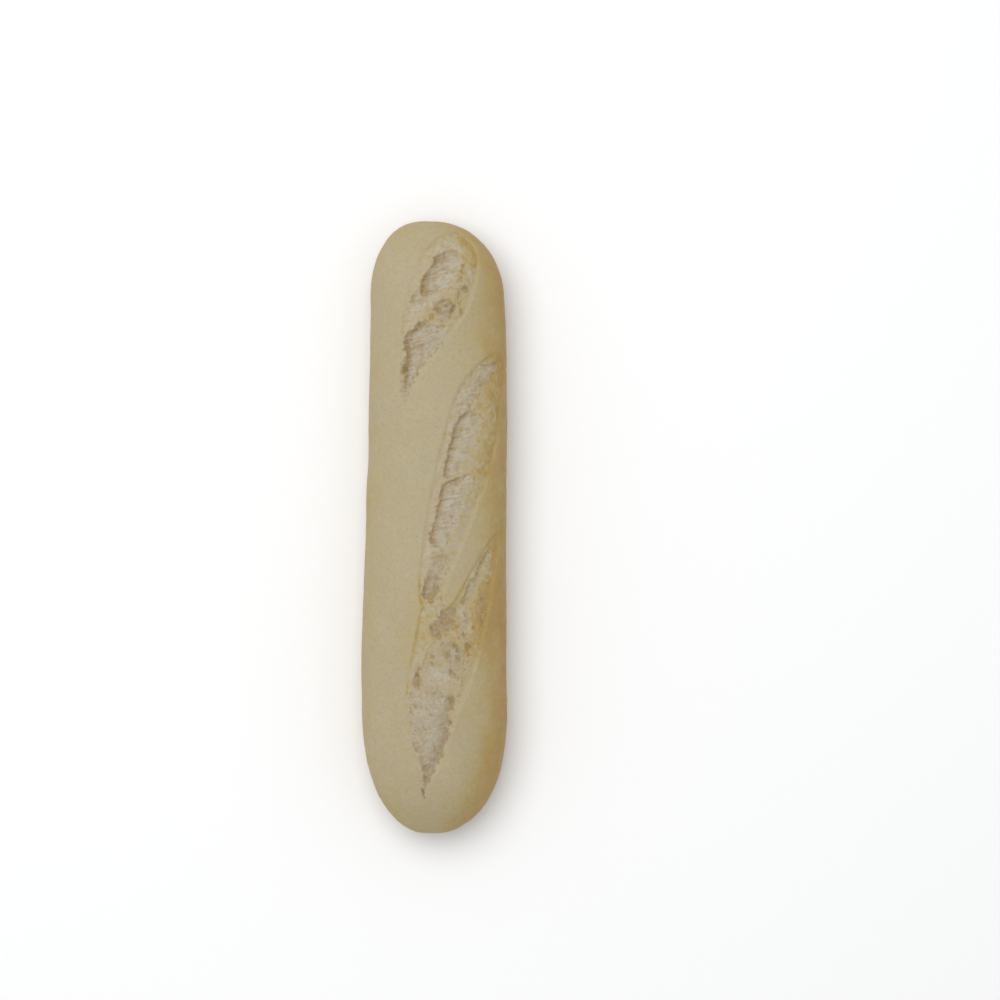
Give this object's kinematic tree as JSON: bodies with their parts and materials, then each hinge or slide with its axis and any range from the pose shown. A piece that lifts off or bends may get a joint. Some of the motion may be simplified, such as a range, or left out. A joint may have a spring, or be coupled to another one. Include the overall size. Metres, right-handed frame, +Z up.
{
  "type": "baguette",
  "caption": "Pale part-baked short baguette that lies on its flat underside, its crown opened by long diagonal torn scores.",
  "frame": {"origin": "on the flat underside, at the middle of the loaf's length and width", "axes": "+Z up through the crown; +Y along the loaf towards its blunter end; +X towards the side where each score begins"},
  "size_m": [0.0642, 0.27, 0.045],
  "materials": {
    "crust": "matte"
  },
  "bodies": {
    "root": {"loaf": "crust"}
  },
  "joints": []
}
